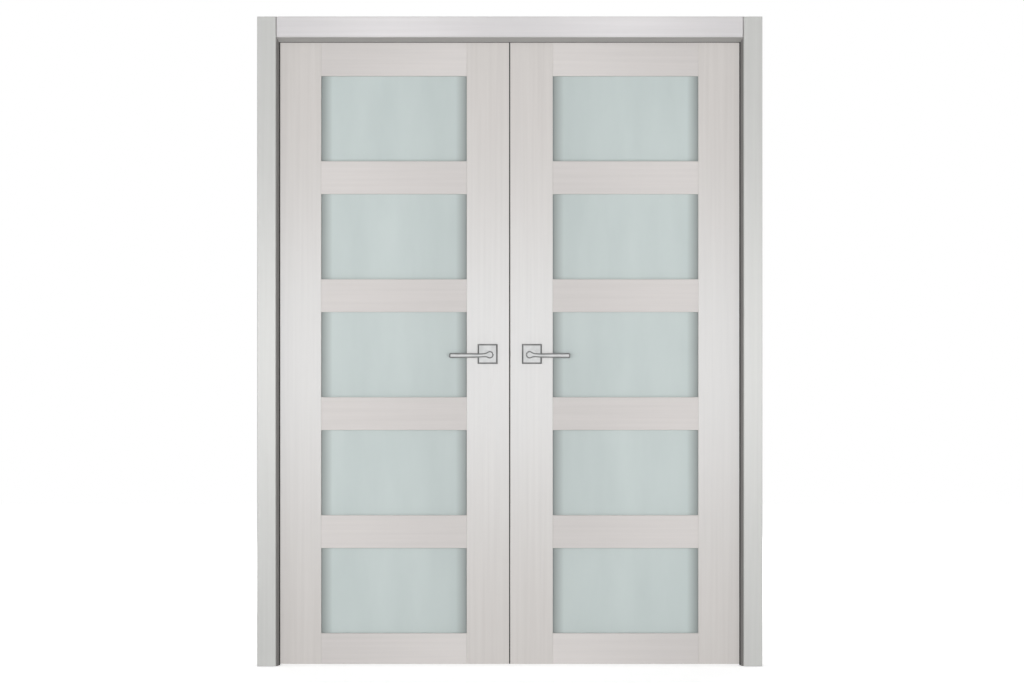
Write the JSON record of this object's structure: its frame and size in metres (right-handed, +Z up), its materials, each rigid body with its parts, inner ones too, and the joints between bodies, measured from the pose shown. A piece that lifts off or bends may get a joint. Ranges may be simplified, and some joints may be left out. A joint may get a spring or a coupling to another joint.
{
  "type": "double interior door",
  "caption": "Double interior door: glazed stile-and-rail leaves hinged in a lined and cased frame, with lever handles, a mortise latch and a flush bolt.",
  "frame": {"origin": "on the floor, in the middle of the doorway's width and of the wall's thickness", "axes": "+X along the wall to the viewer's right, +Y through the doorway to the side the leaves open to, +Z up"},
  "size_m": [1.648, 0.14, 2.111],
  "materials": {
    "veneer_upright": "pale grey-white veneer, fine grain running upright, satin",
    "veneer_level": "pale grey-white veneer, fine grain running level, satin",
    "casing_upright": "pale grey veneer of the side casings, grain upright, satin",
    "casing_level": "pale grey veneer of the head casings, grain level, satin",
    "lining_upright": "grey veneer of the side lining, grain upright, matt",
    "lining_level": "grey veneer of the head lining, grain level, matt",
    "raw_wood": "bare softwood",
    "satin_glass": "satin-etched, pale blue-green",
    "glazing_gasket": "grey, matt",
    "seal_rubber": "black, matt",
    "polished_chrome": "polished",
    "hinge_steel": "satin nickel",
    "lock_steel": "satin",
    "plain_steel": "zinc plated"
  },
  "bodies": {
    "frame": {"left_jamb": "lining_upright", "right_jamb": "lining_upright", "head_jamb": "lining_level", "left_stop": "lining_upright", "right_stop": "lining_upright", "head_stop": "lining_level", "frame_seal": "seal_rubber", "front_casing_left": "casing_upright", "front_casing_right": "casing_upright", "front_casing_head": "casing_level", "rear_casing_left": "casing_upright", "rear_casing_right": "casing_upright", "rear_casing_head": "casing_level", "jamb_hinge_plates": "hinge_steel", "hinge_pins": "hinge_steel", "head_keeper": "lock_steel", "frame_screws": "plain_steel"},
    "left_leaf": {"left_hinge_stile": "veneer_upright", "left_meeting_stile": "veneer_upright", "left_top_rail": "veneer_level", "left_middle_rail_1": "veneer_level", "left_middle_rail_2": "veneer_level", "left_middle_rail_3": "veneer_level", "left_middle_rail_4": "veneer_level", "left_bottom_rail": "veneer_level", "left_panes": "satin_glass", "left_glazing_seals": "glazing_gasket", "left_tenons": "raw_wood", "left_hinge_plates": "hinge_steel", "left_front_rose": "polished_chrome", "left_rear_rose": "polished_chrome", "left_front_lever": "polished_chrome", "left_rear_lever": "polished_chrome", "strike_plate": "lock_steel", "bolt_plate": "lock_steel", "meeting_seal": "seal_rubber"},
    "right_leaf": {"right_hinge_stile": "veneer_upright", "right_meeting_stile": "veneer_upright", "right_top_rail": "veneer_level", "right_middle_rail_1": "veneer_level", "right_middle_rail_2": "veneer_level", "right_middle_rail_3": "veneer_level", "right_middle_rail_4": "veneer_level", "right_bottom_rail": "veneer_level", "right_panes": "satin_glass", "right_glazing_seals": "glazing_gasket", "right_tenons": "raw_wood", "right_hinge_plates": "hinge_steel", "right_front_rose": "polished_chrome", "right_rear_rose": "polished_chrome", "latch_case": "lock_steel", "latch_spring": "plain_steel"},
    "lever_set": {"right_front_lever": "polished_chrome", "right_rear_lever": "polished_chrome", "spindle": "plain_steel", "latch_cam": "plain_steel"},
    "latch": {"latch_bolt": "lock_steel"},
    "flush_bolt": {"top_bolt": "lock_steel"}
  },
  "joints": [
    {"name": "left_leaf_swing", "type": "hinge", "parent": "frame", "child": "left_leaf", "pos_m": [-0.7565, 0.0435, 0], "axis": [0, 0, 1], "range_deg": [0, 165]},
    {"name": "right_leaf_swing", "type": "hinge", "parent": "frame", "child": "right_leaf", "pos_m": [0.7565, 0.0435, 0], "axis": [0, 0, -1], "range_deg": [0, 165]},
    {"name": "lever_turn", "type": "hinge", "parent": "right_leaf", "child": "lever_set", "pos_m": [0.072, 0.0175, 1.012], "axis": [0, 1, 0], "range_deg": [0, 50], "stiffness_Nm_per_rad": 1.5, "springref_deg": -34.38},
    {"name": "latch_slide", "type": "slide", "parent": "right_leaf", "child": "latch", "axis": [1, 0, 0], "range_m": [0, 0.01], "stiffness_N_per_m": 150, "springref_m": -0.02, "deforming": ["latch_spring"]},
    {"name": "top_bolt_slide", "type": "slide", "parent": "left_leaf", "child": "flush_bolt", "axis": [0, 0, 1], "range_m": [0, 0.02]}
  ],
  "couplings": [
    {"joint": "latch_slide", "follows": "lever_turn", "m_per_rad": 0.011459}
  ]
}
